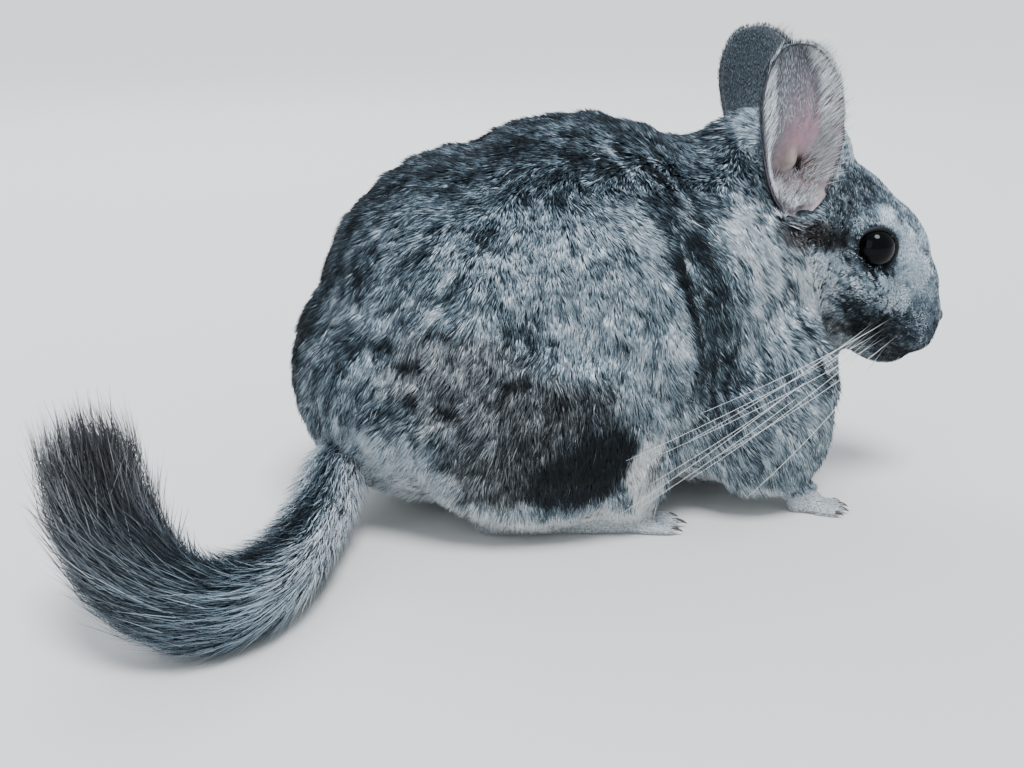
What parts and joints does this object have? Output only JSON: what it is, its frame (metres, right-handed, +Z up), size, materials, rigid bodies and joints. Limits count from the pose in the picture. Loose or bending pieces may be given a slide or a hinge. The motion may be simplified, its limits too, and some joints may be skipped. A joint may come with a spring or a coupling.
{
  "type": "chinchilla museum model",
  "caption": "Life-size still model of a grey chinchilla on all fours, head lowered, large ears raised and its bushy tail laid out on the floor and curled up at the tip.",
  "frame": {"origin": "middle of the whole model's box, at the floor it rests on", "axes": "+X the way the animal faces, +Y its left, +Z up"},
  "size_m": [0.3002, 0.1878, 0.1579],
  "materials": {
    "coat": "dense soft fur, blue-grey with white ticking",
    "pale_coat": "short white to pale grey fur",
    "ear_skin": "thin bare pinkish-grey skin",
    "eye": "wet gloss black"
  },
  "bodies": {
    "root": {"torso": "coat", "neck": "coat", "head": "coat", "ear_right": "ear_skin", "ear_left": "ear_skin", "eye_right": "eye", "eye_left": "eye", "hind_leg_right": "coat", "hind_leg_left": "coat", "hind_foot_right": "pale_coat", "hind_foot_left": "pale_coat", "foreleg_right": "pale_coat", "foreleg_left": "pale_coat", "fore_paw_right": "pale_coat", "fore_paw_left": "pale_coat", "tail_root": "coat", "tail_middle": "coat", "tail_tip": "coat"}
  },
  "joints": []
}
